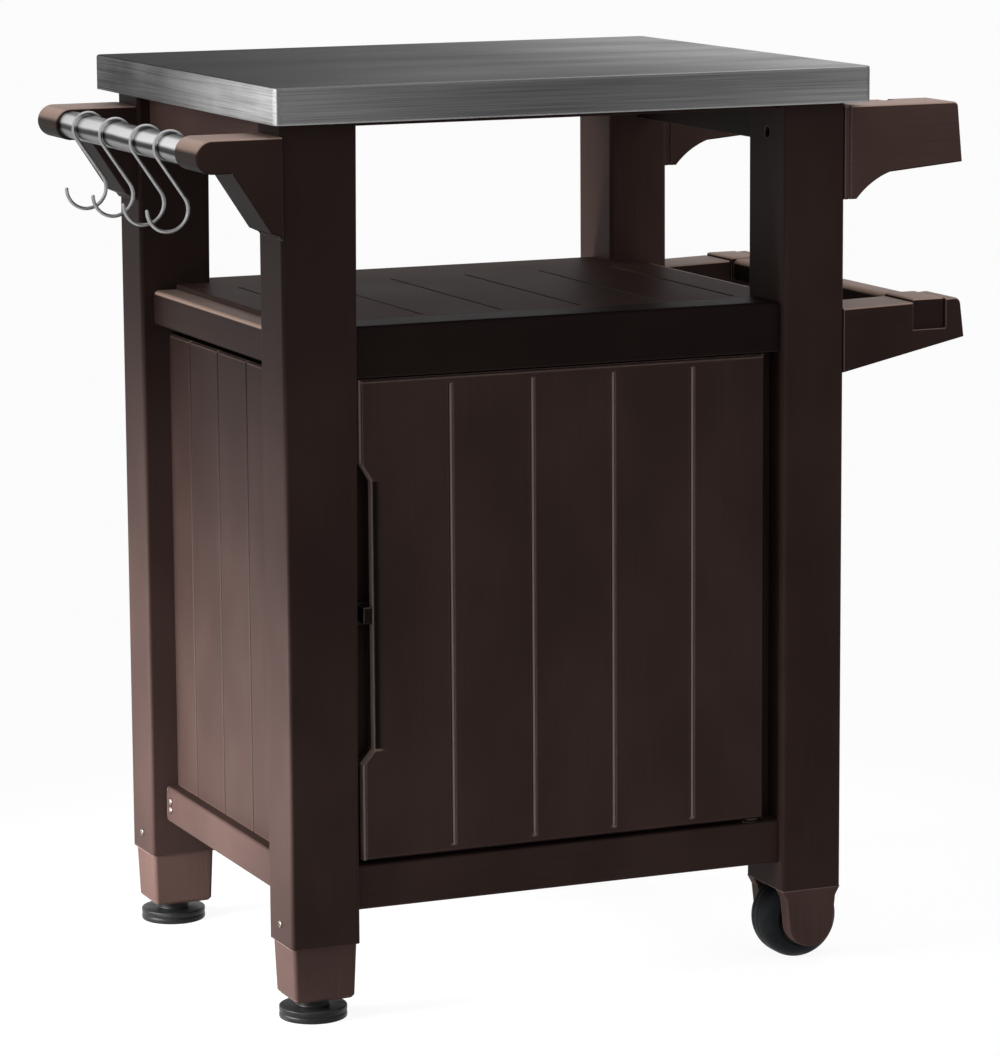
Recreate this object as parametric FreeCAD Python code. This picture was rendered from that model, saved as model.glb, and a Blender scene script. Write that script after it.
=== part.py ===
import FreeCAD, Part
import math
import os

# Sizes are in millimetres. X runs along the front, Y to the back, Z up.
# Everything is drawn from the worktop's front left corner, then moved so that
# the origin is on the floor under the middle of the whole cart.

# Worktop
worktop_height = 900.0
worktop_width = 618.0
worktop_depth = 529.0
worktop_thickness = 35.0
skin_gauge = 1.2
skin_corner_radius = 8.0
skin_edge_radius = 2.5
core_board = 14.0
core_rim = 9.0
core_rim_height = 26.0
core_gap = 0.4

# Posts. The left ones grow wider towards the top, the right ones are deep
# enough to house the wheels.
post_width = 70.5
post_depth = 62.0
post_inset_x = 15.0
post_inset_y = 28.0
post_straight_top = 215.0
post_flare = 6.0
post_wall = 4.0
post_edge_radius = 4.0
post_cap = 5.0
left_post_bottom = 75.0
right_post_width = 65.0
right_post_depth = 81.0
right_post_bottom = 77.0
rear_right_inset_y = 11.0

# Rails under the worktop
top_rail_width = 20.0
top_side_inset = 13.0
top_side_drop = 45.0
top_front_inset = 10.0
top_front_drop = 6.0
top_rear_drop = 44.0

# Open shelf and its rails
deck_top = 670.0
deck_board_thickness = 14.0
deck_front_inset = 9.0
deck_front_width = 47.0
deck_front_height = 49.0
deck_side_inset = 14.0
deck_side_width = 24.0
deck_side_drop = 5.0
deck_side_height = 35.0
deck_rear_inset = 19.0
deck_rear_width = 32.0
deck_ledge = 10.0
deck_edge_radius = 5.0
board_edge_radius = 1.5
deck_groove_pitch = 83.0
deck_groove_count = 6
deck_groove_front = 14.0
deck_groove_rear = 94.0
groove_width = 5.0
groove_depth = 2.5

# Cabinet walls, bottom rails, floor and inner shelf
panel_inset = 29.5
panel_thickness = 12.0
panel_top_gap = 10.0
panel_bevel = 2.0
panel_groove_first = 40.0
panel_groove_pitch = 82.8
panel_groove_count = 4
back_panel_inset = 22.0
back_groove_pitch = 85.0
back_groove_count = 5
bottom_rail_top = 148.5
bottom_front_height = 43.0
bottom_side_height = 37.0
bottom_rail_width = 30.0
bottom_side_inset = 17.0
rail_edge_radius = 3.0
floor_drop = 6.0
floor_thickness = 10.0
floor_ledge = 10.0
ledge_gap = 6.0
shelf_height = 385.0
shelf_thickness = 12.0
shelf_depth = 330.0
batten_height = 16.0
batten_width = 12.0
batten_length = 300.0
tenon_length = 24.0
tenon_width = 14.0
tenon_height = 26.0
tenon_gap = 0.3
stile_width = 26.5
stile_thickness = 10.0
stile_gap = 6.5

# Door
door_gap_left = 8.5
door_gap_right = 17.0
door_gap_top = 1.8
door_gap_bottom = 4.5
door_face = 10.0
liner_thickness = 8.0
liner_gap = 0.3
door_frame_width = 22.0
door_edge_bevel = 2.5
door_groove_first = 93.0
door_groove_pitch = 85.0
door_groove_count = 4
door_groove_margin = 8.0
door_pin_radius = 4.0
door_pin_inset = 11.0
door_pin_embed = 15.0
door_pin_engagement = 10.0
door_pin_clearance = 0.08
door_collar_radius = 8.0
door_seat_gap = 0.3
handle_depth = 12.0
handle_bottom = 247.0
handle_drop = 78.2
handle_slope_low = 14.0
handle_slope_high = 19.0
lip_width = 10.0
lip_depth = 2.5
catch_bottom = 384.0
catch_height = 16.0
catch_length = 9.0
catch_setback = 3.0
keeper_width = 16.0
keeper_height = 22.0

# Towel rail and its two brackets on the left
towel_arm_inset = 22.5
arm_width = 62.0
rail_offset = 68.5
rail_drop = 28.5
rail_radius = 13.5
rail_wall = 1.5
boss_radius = 16.0
socket_depth = 20.0
socket_clearance = 0.15
towel_arm_flat = 19.5
towel_arm_knee_drop = 72.5
towel_arm_knee = 12.0
towel_arm_toe = 3.0
towel_arm_toe_drop = 76.5
towel_arm_foot_drop = 80.5
arm_edge_radius = 2.0

# S-hooks
wire_radius = 1.8
hook_clearance = 0.3
hook_loop_radius = 20.5
hook_drop = 59.0
hook_side = 3.5
hook_tip_angle = 176.0
hook_end_angle = -8.0
hook_1_place = 142.0
hook_2_place = 212.0
hook_3_place = 305.0
hook_4_place = 389.0

# Roll brackets and bar on the right, below the worktop
side_arm_inset = 27.5
roll_arm_drop = 5.5
roll_arm_reach = 130.5
roll_tip_lean = 5.5
roll_tip_height = 59.5
roll_tip_radius = 5.0
roll_root_height = 91.5
roll_root_length = 13.5
roll_curve_end = 50.0
roll_curve_height = 66.5
roll_curve_sag = 3.0
roll_flange = 4.0
roll_flange_groove = 2.6
roll_groove_depth = 1.6
roll_bar_offset = 73.0
roll_bar_drop = 25.5
roll_bar_radius = 9.0
roll_journal_radius = 6.0
roll_journal_length = 13.5
roll_slot_clearance = 0.1
roll_slot_depth = 14.5
roll_side_play = 0.5

# Bag brackets and bar on the right, at shelf height
bag_arm_bottom = 597.0
bag_arm_root_height = 63.5
bag_arm_peak_height = 65.5
bag_arm_tip_height = 68.5
bag_arm_tip_rise = 28.5
bag_arm_peak = 74.0
bag_arm_reach = 134.5
bag_tip_lean = 5.0
bag_tip_radius = 7.0
notch_offset = 76.5
notch_width = 37.0
notch_height = 38.0
bag_block_gap = 1.5
bag_block_setback = 3.0
bag_seat_gap = 0.3
bag_block_height = 69.0
bag_block_radius = 2.5
bag_bar_width = 27.0
bag_bar_height = 22.0
bag_bar_drop = 2.0
bag_bar_radius = 6.0

# Feet under the left posts
foot_top_inset = 2.5
foot_bottom_inset = 4.5
foot_block_bottom = 20.5
foot_chamfer = 3.0
foot_set_out = 3.0
foot_spigot_height = 40.0
spigot_gap = 0.3
spigot_edge_radius = 1.0
disc_radius = 33.0
disc_height = 12.0
disc_edge = 1.5
disc_groove = 1.0
disc_neck_radius = 16.0
disc_neck_gap = 0.4
stud_radius = 5.0
stud_length = 54.0
stud_seat = 8.0
stud_end_gap = 6.0
thread_clearance = 0.08
pin_end_chamfer = 1.0

# Wheels and forks under the right posts
wheel_radius = 42.0
wheel_width = 48.0
wheel_shoulder = 18.0
wheel_play = 1.5
hub_radius = 27.0
hub_rim = 4.0
hub_recess = 2.0
hub_web = 8.0
hub_boss_radius = 10.0
hub_boss_play = 0.5
hub_fit = 0.1
axle_radius = 4.0
axle_clearance = 0.08
axle_seat = 5.0
fork_round_radius = 24.5
fork_neck_width = 55.0
fork_shoulder = 9.0
fork_slot_gap = 3.0
fork_spigot_height = 30.0

# Screws
screw_head_radius = 4.0
screw_head_height = 1.8
screw_shank_radius = 1.8
screw_hole_clearance = 0.2
screw_length = 16.0
rail_screw_spacing = 9.0
rail_screw_margin = 12.0
foot_screw_rise = 19.5
arm_screw_inset = 68.0
arm_access_radius = 5.5
towel_arm_screw_drop = 2.5
roll_arm_screw_drop = 25.5
bag_arm_screw_rise = 30.0

# Levels and places that follow from the sizes above
board_underside = worktop_height - skin_gauge - core_board
rim_underside = worktop_height - skin_gauge - core_rim_height
skirt_bottom = worktop_height - worktop_thickness
post_top = board_underside
flare_height = skirt_bottom - post_straight_top
flare_end = post_inset_x + post_width + post_flare
post_left_inner = post_inset_x + post_width
post_front_inner = post_inset_y + post_depth
post_right_outer = worktop_width - post_inset_x
post_right_inner = post_right_outer - right_post_width
post_rear_outer = worktop_depth - post_inset_y
post_middle_x = post_inset_x + post_width / 2.0
post_middle_y = post_inset_y + post_depth / 2.0
deck_front = post_inset_y + deck_front_inset
deck_board_front = deck_front + deck_front_width
deck_board_rear = post_rear_outer - deck_rear_inset
deck_board_bottom = deck_top - deck_board_thickness
deck_rail_bottom = deck_top - deck_front_height
deck_side_outer = post_inset_x + deck_side_inset
deck_board_left = deck_side_outer + deck_side_width
deck_side_top = deck_top - deck_side_drop
deck_side_bottom = deck_side_top - deck_side_height
panel_outer = post_inset_x + panel_inset
panel_inner = panel_outer + panel_thickness
panel_top = deck_side_bottom - panel_top_gap
back_panel_front = post_rear_outer - back_panel_inset - panel_thickness
bottom_side_outer = post_inset_x + bottom_side_inset
bottom_side_inner = bottom_side_outer + bottom_rail_width
bottom_front_inner = deck_front + bottom_rail_width
floor_top = bottom_rail_top - floor_drop
floor_bottom = floor_top - floor_thickness
tenon_left = bottom_side_outer + (bottom_rail_width - tenon_width) / 2.0
tenon_bottom = bottom_rail_top - (bottom_side_height + tenon_height) / 2.0
rail_screw_level = bottom_rail_top - bottom_side_height / 2.0
door_left = post_left_inner + door_gap_left
door_right = post_right_inner - door_gap_right
door_front = deck_front
door_back = door_front + door_face + liner_thickness
door_bottom = bottom_rail_top + door_gap_bottom
door_top = deck_rail_bottom - door_gap_top
door_axis_x = door_right - door_pin_inset
door_axis_y = (door_front + door_back) / 2.0
stile_front = door_back + stile_gap
notch_line = door_left + handle_depth
handle_top = door_top - handle_drop
rail_axis_x = post_inset_x - rail_offset
rail_height = skirt_bottom - rail_drop
towel_arm_screw = rail_height - towel_arm_screw_drop
socket_start = towel_arm_inset + arm_width - socket_depth
hook_ring_radius = rail_radius + hook_clearance + wire_radius
side_arm_inner = side_arm_inset + arm_width
roll_arm_top = skirt_bottom - roll_arm_drop
roll_arm_screw = roll_arm_top - roll_arm_screw_drop
roll_axis_x = post_right_outer + roll_bar_offset
roll_axis_z = roll_arm_top - roll_bar_drop
bag_arm_root_top = bag_arm_bottom + bag_arm_root_height
bag_arm_peak_top = bag_arm_bottom + bag_arm_peak_height
bag_arm_tip_top = bag_arm_bottom + bag_arm_tip_height
bag_arm_tip_bottom = bag_arm_bottom + bag_arm_tip_rise
bag_arm_screw = bag_arm_bottom + bag_arm_screw_rise
bag_block_top = bag_arm_bottom + bag_block_height
notch_bottom = bag_arm_bottom + notch_height
notch_left = post_right_outer + notch_offset
bag_middle_x = notch_left + notch_width / 2.0
stud_bottom = disc_height - stud_seat
foot_middle_x = post_middle_x - foot_set_out
wheel_slot_half = wheel_width / 2.0 + wheel_play
cart_left = rail_axis_x - hook_side - hook_loop_radius - wire_radius
cart_right = post_right_outer + bag_arm_reach
origin_shift = FreeCAD.Vector(-(cart_left + cart_right) / 2.0, -worktop_depth / 2.0, 0.0)

UP = FreeCAD.Vector(0, 0, 1)
ALONG_X = FreeCAD.Vector(1, 0, 0)
AGAINST_X = FreeCAD.Vector(-1, 0, 0)
ALONG_Y = FreeCAD.Vector(0, 1, 0)
overcut = 1.0
same_place = 0.001


def block(x0, x1, y0, y1, z0, z1):
    """Box between two opposite corners."""
    return Part.makeBox(x1 - x0, y1 - y0, z1 - z0, FreeCAD.Vector(x0, y0, z0))


def rod(radius, length, x, y, z, direction):
    """Cylinder that starts at a point and runs along a direction."""
    return Part.makeCylinder(radius, length, FreeCAD.Vector(x, y, z), direction)


def in_plane(plane, a, b, offset):
    """Point of an XZ, YZ or XY drawing, at a distance along the third axis."""
    if plane == "xz":
        return FreeCAD.Vector(a, offset, b)
    if plane == "yz":
        return FreeCAD.Vector(offset, a, b)
    return FreeCAD.Vector(a, b, offset)


def prism(plane, path, start, depth):
    """Straight prism of an outline. A path item (via, end) is an arc."""
    at = in_plane(plane, path[0][0], path[0][1], start)
    first = at
    edges = []
    for item in path[1:]:
        if isinstance(item[0], tuple):
            via = in_plane(plane, item[0][0], item[0][1], start)
            end = in_plane(plane, item[1][0], item[1][1], start)
            edges.append(Part.Arc(at, via, end).toShape())
        else:
            end = in_plane(plane, item[0], item[1], start)
            edges.append(Part.makeLine(at, end))
        at = end
    edges.append(Part.makeLine(at, first))
    face = Part.Face(Part.Wire(edges))
    return face.extrude(in_plane(plane, 0.0, 0.0, depth))


def middle(edge):
    """Middle point of an edge."""
    return edge.valueAt((edge.FirstParameter + edge.LastParameter) / 2.0)


def edges_at(shape, **planes):
    """Edges whose middle lies on all the named planes, such as y=0."""
    found = []
    for edge in shape.Edges:
        point = middle(edge)
        if all(abs(getattr(point, name) - value) < same_place for name, value in planes.items()):
            found.append(edge)
    return found


def mirror_x(shape):
    """Copy of a left piece on the right of the worktop."""
    return shape.mirror(FreeCAD.Vector(worktop_width / 2.0, 0, 0), ALONG_X)


def mirror_y(shape):
    """Copy of a front piece at the back of the worktop."""
    return shape.mirror(FreeCAD.Vector(0, worktop_depth / 2.0, 0), ALONG_Y)


def save(name, *solids):
    """Move the solids to the cart's own origin and write them as one node."""
    moved = [solid.translated(origin_shift) for solid in solids]
    shape = moved[0] if len(moved) == 1 else Part.makeCompound(moved)
    shape.exportStep("parts/" + name + ".step")


def rounded_outline(x0, x1, y0, y1, z, radius):
    """Outline of a rectangle with round corners at one height."""
    r = radius
    k = r * (1.0 - math.sqrt(0.5))
    corners = [
        ((x0, y0 + r), (x0 + k, y0 + k), (x0 + r, y0)),
        ((x1 - r, y0), (x1 - k, y0 + k), (x1, y0 + r)),
        ((x1, y1 - r), (x1 - k, y1 - k), (x1 - r, y1)),
        ((x0 + r, y1), (x0 + k, y1 - k), (x0, y1 - r)),
    ]
    edges = []
    for i, corner in enumerate(corners):
        start, via, end = [FreeCAD.Vector(p[0], p[1], z) for p in corner]
        following = corners[(i + 1) % 4][0]
        edges.append(Part.Arc(start, via, end).toShape())
        edges.append(Part.makeLine(end, FreeCAD.Vector(following[0], following[1], z)))
    return Part.Wire(edges)


def rounded_slab(x0, x1, y0, y1, z0, z1, radius):
    """Slab with round upright corners."""
    outline = Part.Face(rounded_outline(x0, x1, y0, y1, z0, radius))
    return outline.extrude(FreeCAD.Vector(0, 0, z1 - z0))


def groove_across_x(x, face_y, inward, z0, height):
    """Upright V cutter in a face that looks along Y; inward is 1 or -1."""
    half = groove_width / 2.0
    path = [(x - half, face_y), (x + half, face_y), (x, face_y + inward * groove_depth)]
    return prism("xy", path, z0, height)


def groove_across_y(y, face_x, z0, height):
    """Upright V cutter in a face that looks to the left."""
    half = groove_width / 2.0
    path = [(face_x, y - half), (face_x, y + half), (face_x + groove_depth, y)]
    return prism("xy", path, z0, height)


class PostSize:
    """Faces of a post, as if it stood at the front left of the worktop."""

    def __init__(self, width, depth, inset_y, flare, bottom):
        self.outer = post_inset_x
        self.inner = post_inset_x + width
        self.front = inset_y
        self.back = inset_y + depth
        self.flare = flare
        self.bottom = bottom
        self.middle_x = post_inset_x + width / 2.0
        self.middle_y = inset_y + depth / 2.0


def post_column(size, bottom, top, inset):
    """Post's solid, drawn in by an inset: straight below, then flared inwards."""
    lean = (top - post_straight_top) / flare_height
    inner = size.inner - inset
    path = [
        (size.outer + inset, bottom),
        (inner, bottom),
        (inner, post_straight_top),
        (inner + lean * size.flare, top),
        (size.outer + inset, top),
    ]
    return prism("xz", path, size.front + inset, size.back - size.front - 2.0 * inset)


def rounded_column(size):
    """Post's solid with its long edges rounded."""
    column = post_column(size, size.bottom, post_top, 0.0).removeSplitter()
    long_edges = [edge for edge in column.Edges if edge.BoundBox.ZLength > post_edge_radius]
    return column.makeFillet(post_edge_radius, long_edges)


def screw(x, y, z, direction):
    """Pan-head screw. The point lies under its head, the shank runs from it."""
    start = FreeCAD.Vector(x, y, z).sub(direction * screw_head_height)
    head = Part.makeCylinder(screw_head_radius, screw_head_height, start, direction)
    return head.fuse(rod(screw_shank_radius, screw_length, x, y, z, direction))


def screw_hole(x, y, z, direction):
    """Clearance hole for the shank of a screw."""
    start = FreeCAD.Vector(x, y, z).sub(direction * overcut)
    radius = screw_shank_radius + screw_hole_clearance
    return Part.makeCylinder(radius, screw_length + 2.0 * overcut, start, direction)


def rail_screw_places(size):
    """Places of the two screws at a post's end of the lower side rail."""
    y = size.back + rail_screw_margin
    half = rail_screw_spacing / 2.0
    return [(bottom_side_outer, y, rail_screw_level + side * half) for side in (-1, 1)]


def foot_screw_place(size):
    """Place of the screw that holds the plug in the foot of a post."""
    return size.outer, size.middle_y, size.bottom + foot_screw_rise


def arm_screw_place(level):
    """Place of an arm's screw, inside the outer wall of a post."""
    return post_inset_x + post_wall, arm_screw_inset, level


def rail_tenon(size, gap):
    """Tongue of a post in the end of the lower side rail."""
    return block(
        tenon_left - gap,
        tenon_left + tenon_width + gap,
        size.back,
        size.back + tenon_length + gap,
        tenon_bottom - gap,
        tenon_bottom + tenon_height + gap,
    )


def post(size, arm_levels):
    """Hollow post with its cap and screw holes, and its tongue."""
    hollow = post_column(size, size.bottom - overcut, post_top - post_cap, post_wall)
    shape = rounded_column(size).cut(hollow)
    holes = [screw_hole(*foot_screw_place(size), ALONG_X)]
    holes += [screw_hole(*place, ALONG_X) for place in rail_screw_places(size)]
    for level in arm_levels:
        x, y, z = arm_screw_place(level)
        holes.append(screw_hole(x, y, z, AGAINST_X))
        holes.append(rod(arm_access_radius, size.inner - size.outer, size.middle_x, y, z, ALONG_X))
    return [shape.cut(holes), rail_tenon(size, 0.0).cut(holes)]


def worktop_skin():
    """Steel tray turned down on all sides, with round corners."""
    g = skin_gauge
    tray = rounded_slab(
        0.0, worktop_width, 0.0, worktop_depth, skirt_bottom, worktop_height, skin_corner_radius
    )
    tray = tray.makeFillet(skin_edge_radius, edges_at(tray, z=worktop_height))
    inner = rounded_slab(
        g, worktop_width - g, g, worktop_depth - g,
        skirt_bottom - overcut, worktop_height - g, skin_corner_radius - g,
    )
    inner = inner.makeFillet(skin_edge_radius - g, edges_at(inner, z=worktop_height - g))
    return tray.cut(inner)


def worktop_core():
    """Board that fills the tray, with a rim and two ribs below it."""
    inset = skin_gauge + core_gap
    top = worktop_height - skin_gauge
    core = rounded_slab(
        inset, worktop_width - inset, inset, worktop_depth - inset,
        rim_underside, top, skin_corner_radius - inset,
    )
    core = core.makeFillet(skin_edge_radius, edges_at(core, z=top))
    edge = inset + core_rim
    pocket = (worktop_width - 2.0 * edge - 2.0 * core_rim) / 3.0
    for i in range(3):
        x0 = edge + i * (pocket + core_rim)
        core = core.cut(block(
            x0, x0 + pocket, edge, worktop_depth - edge, rim_underside - overcut, board_underside
        ))
    return core


def between_posts(shape):
    """Piece fitted between the posts."""
    return shape.cut(post_shapes)


def top_rail_left():
    """Side rail under the worktop."""
    x0 = post_inset_x + top_side_inset
    z0 = skirt_bottom - top_side_drop
    rail = block(
        x0, x0 + top_rail_width, post_middle_y, worktop_depth - post_middle_y, z0, board_underside
    )
    return rail.makeFillet(rail_edge_radius, edges_at(rail, x=x0, z=z0))


def top_rail(y0, bottom):
    """Front or rear rail under the worktop, below the ribs."""
    rail = block(
        post_middle_x, worktop_width - post_middle_x, y0, y0 + top_rail_width,
        bottom, rim_underside,
    )
    return between_posts(rail)


def deck_rail_front():
    """Apron with a wide top, a ledge for the board and the upper pin's bore."""
    rail = block(
        post_middle_x, worktop_width - post_middle_x, deck_front, deck_board_front,
        deck_rail_bottom, deck_top,
    )
    rail = rail.makeFillet(deck_edge_radius, edges_at(rail, y=deck_front, z=deck_top))
    rail = between_posts(rail)
    ledge = block(
        flare_end, worktop_width - flare_end, deck_board_front, deck_board_front + deck_ledge,
        deck_board_bottom - deck_ledge, deck_board_bottom,
    )
    rail = rail.fuse(ledge).removeSplitter()
    return rail.cut(door_pin_bore(deck_rail_bottom))


def deck_rail_rear():
    """Rail under the back of the board."""
    rail = block(
        post_middle_x, worktop_width - post_middle_x,
        deck_board_rear - deck_rear_width, deck_board_rear,
        deck_rail_bottom, deck_board_bottom,
    )
    return between_posts(rail)


def deck_rail_left():
    """Side rail with a round top edge and a ledge for the board."""
    x0 = deck_side_outer
    rail = block(
        x0, deck_board_left, post_middle_y, worktop_depth - post_middle_y,
        deck_side_bottom, deck_side_top,
    )
    rail = rail.makeFillet(deck_edge_radius, edges_at(rail, x=x0, z=deck_side_top))
    rail = rail.makeFillet(rail_edge_radius, edges_at(rail, x=x0, z=deck_side_bottom))
    ledge_end = post_front_inner + ledge_gap
    ledge = block(
        deck_board_left, deck_board_left + deck_ledge, ledge_end, worktop_depth - ledge_end,
        deck_board_bottom - deck_ledge, deck_board_bottom,
    )
    return rail.fuse(ledge).removeSplitter()


def deck_board():
    """Shelf board with grooves that run from front to back."""
    board = block(
        deck_board_left, worktop_width - deck_board_left, deck_board_front, deck_board_rear,
        deck_board_bottom, deck_top,
    )
    board = board.makeFillet(board_edge_radius, edges_at(board, z=deck_top))
    first = worktop_width / 2.0 - (deck_groove_count - 1) / 2.0 * deck_groove_pitch
    y0 = deck_board_front + deck_groove_front
    length = deck_board_rear - deck_groove_rear - y0
    half = groove_width / 2.0
    grooves = []
    for i in range(deck_groove_count):
        x = first + i * deck_groove_pitch
        path = [(x - half, deck_top), (x + half, deck_top), (x, deck_top - groove_depth)]
        grooves.append(prism("xz", path, y0, length))
    return between_posts(board.cut(grooves))


def side_panel_left():
    """Grooved cabinet wall between the left posts."""
    panel = block(
        panel_outer, panel_inner, post_middle_y, worktop_depth - post_middle_y,
        bottom_rail_top, panel_top,
    )
    panel = panel.makeChamfer(panel_bevel, edges_at(panel, x=panel_outer, z=panel_top))
    height = panel_top - bottom_rail_top
    grooves = []
    for i in range(panel_groove_count):
        y = post_front_inner + panel_groove_first + i * panel_groove_pitch
        grooves.append(groove_across_y(y, panel_outer, bottom_rail_top, height))
    return panel.cut(grooves)


def back_panel():
    """Grooved cabinet wall between the rear posts."""
    rear = back_panel_front + panel_thickness
    panel = block(
        post_middle_x, worktop_width - post_middle_x, back_panel_front, rear,
        bottom_rail_top, deck_rail_bottom,
    )
    first = worktop_width / 2.0 - (back_groove_count - 1) / 2.0 * back_groove_pitch
    height = deck_rail_bottom - bottom_rail_top
    grooves = []
    for i in range(back_groove_count):
        x = first + i * back_groove_pitch
        grooves.append(groove_across_x(x, rear, -1, bottom_rail_top, height))
    return between_posts(panel.cut(grooves))


def bottom_rail_front():
    """Rail under the door, with a ledge for the floor."""
    bottom = bottom_rail_top - bottom_front_height
    rail = block(
        post_middle_x, worktop_width - post_middle_x, deck_front, bottom_front_inner,
        bottom, bottom_rail_top,
    )
    rail = rail.makeFillet(rail_edge_radius, edges_at(rail, y=deck_front, z=bottom_rail_top))
    rail = rail.makeFillet(rail_edge_radius, edges_at(rail, y=deck_front, z=bottom))
    ledge = block(
        flare_end, worktop_width - flare_end,
        bottom_front_inner, bottom_front_inner + floor_ledge,
        floor_bottom - floor_ledge, floor_bottom,
    )
    return rail.fuse(ledge).removeSplitter()


def rail_end_cuts(size):
    """Cutters for a post's tongue and screws in the end of the lower side rail."""
    return [rail_tenon(size, tenon_gap)] + [
        screw_hole(*place, ALONG_X) for place in rail_screw_places(size)
    ]


def bottom_side_rail(front_post, rear_post):
    """Left side rail on the tongues of two posts, with a ledge for the floor."""
    bottom = bottom_rail_top - bottom_side_height
    x0 = bottom_side_outer
    rail = block(
        x0, bottom_side_inner, post_middle_y, worktop_depth - post_middle_y,
        bottom, bottom_rail_top,
    )
    rail = rail.makeFillet(rail_edge_radius, edges_at(rail, x=x0, z=bottom_rail_top))
    rail = rail.makeFillet(rail_edge_radius, edges_at(rail, x=x0, z=bottom))
    ledge_end = post_front_inner + ledge_gap
    ledge = block(
        bottom_side_inner, bottom_side_inner + floor_ledge,
        ledge_end, worktop_depth - ledge_end, floor_bottom - floor_ledge, floor_bottom,
    )
    rail = rail.fuse(ledge).removeSplitter()
    rear_cuts = [mirror_y(cut) for cut in rail_end_cuts(rear_post)]
    return rail.cut(rail_end_cuts(front_post) + rear_cuts)


def floor_panel():
    """Cabinet floor on the ledges of the four bottom rails."""
    return between_posts(block(
        bottom_side_inner, worktop_width - bottom_side_inner,
        bottom_front_inner, worktop_depth - bottom_front_inner,
        floor_bottom, floor_top,
    ))


def inner_shelf():
    """Shelf half-way up the cabinet, against the back panel."""
    return between_posts(block(
        panel_inner, worktop_width - panel_inner,
        back_panel_front - shelf_depth, back_panel_front,
        shelf_height - shelf_thickness, shelf_height,
    ))


def shelf_batten():
    """Left batten that carries the inner shelf."""
    top = shelf_height - shelf_thickness
    y0 = back_panel_front - (shelf_depth + batten_length) / 2.0
    return block(
        panel_inner, panel_inner + batten_width, y0, y0 + batten_length, top - batten_height, top
    )


def front_stile():
    """Upright strip behind the door's left edge."""
    return block(
        post_middle_x, post_left_inner + stile_width,
        stile_front, stile_front + stile_thickness,
        bottom_rail_top, deck_rail_bottom,
    )


def door_pin_bore(level):
    """Bore for a door pin, above and below the face of a rail."""
    depth = door_pin_engagement + overcut
    radius = door_pin_radius + door_pin_clearance
    return rod(radius, 2.0 * depth, door_axis_x, door_axis_y, level - depth, UP)


def finger_notch():
    """Cutters for the finger recess: a tapered notch and its sloping lip."""
    low = handle_bottom + handle_slope_low
    high = handle_top - handle_slope_high
    path = [
        (door_left - overcut, handle_bottom),
        (door_left, handle_bottom),
        (notch_line, low),
        (notch_line, high),
        (door_left, handle_top),
        (door_left - overcut, handle_top),
    ]
    depth = door_back - door_front + 2.0 * overcut
    notch = prism("xz", path, door_front - overcut, depth)
    lip_path = [
        (notch_line - overcut, door_front - overcut),
        (notch_line + lip_width, door_front - overcut),
        (notch_line + lip_width, door_front),
        (notch_line, door_front + lip_depth),
        (notch_line - overcut, door_front + lip_depth),
    ]
    return [notch, prism("xy", lip_path, low, high - low)]


def door_panel():
    """Outer half of the door, with its rim, grooves, recess and pin holes."""
    panel = block(door_left, door_right, door_front, door_back, door_bottom, door_top)
    panel = panel.makeChamfer(door_edge_bevel, edges_at(panel, y=door_front))
    pocket = block(
        door_left + door_frame_width, door_right - door_frame_width,
        door_front + door_face, door_back + overcut,
        door_bottom + door_frame_width, door_top - door_frame_width,
    )
    cuts = [pocket] + finger_notch()
    z0 = door_bottom + door_groove_margin
    height = door_top - door_groove_margin - z0
    for i in range(door_groove_count):
        x = door_left + door_groove_first + i * door_groove_pitch
        cuts.append(groove_across_x(x, door_front, 1, z0, height))
    for z in (door_bottom, door_top - door_pin_embed):
        cuts.append(rod(door_pin_radius, door_pin_embed, door_axis_x, door_axis_y, z, UP))
    return panel.cut(cuts)


def door_liner():
    """Inner half of the door, let into the rim."""
    edge = door_frame_width + liner_gap
    return block(
        door_left + edge, door_right - edge, door_front + door_face, door_back,
        door_bottom + edge, door_top - edge,
    )


def door_pin_lower():
    """Lower hinge pin with the collar that carries the door."""
    z0 = bottom_rail_top - door_pin_engagement
    length = door_bottom + door_pin_embed - z0
    pin = rod(door_pin_radius, length, door_axis_x, door_axis_y, z0, UP)
    z1 = bottom_rail_top + door_seat_gap
    return pin.fuse(rod(door_collar_radius, door_bottom - z1, door_axis_x, door_axis_y, z1, UP))


def door_pin_upper():
    """Upper hinge pin."""
    z0 = door_top - door_pin_embed
    length = deck_rail_bottom + door_pin_engagement - z0
    return rod(door_pin_radius, length, door_axis_x, door_axis_y, z0, UP)


def door_catch():
    """Magnet housing half-way up the finger recess."""
    return block(
        notch_line - catch_length, notch_line, door_front + catch_setback, door_back,
        catch_bottom, catch_bottom + catch_height,
    )


def catch_keeper():
    """Keeper on the left stile, just behind the magnet housing."""
    middle_x = notch_line - catch_length / 2.0
    middle_z = catch_bottom + catch_height / 2.0
    return block(
        middle_x - keeper_width / 2.0, middle_x + keeper_width / 2.0,
        door_back + door_seat_gap, stile_front,
        middle_z - keeper_height / 2.0, middle_z + keeper_height / 2.0,
    )


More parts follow.
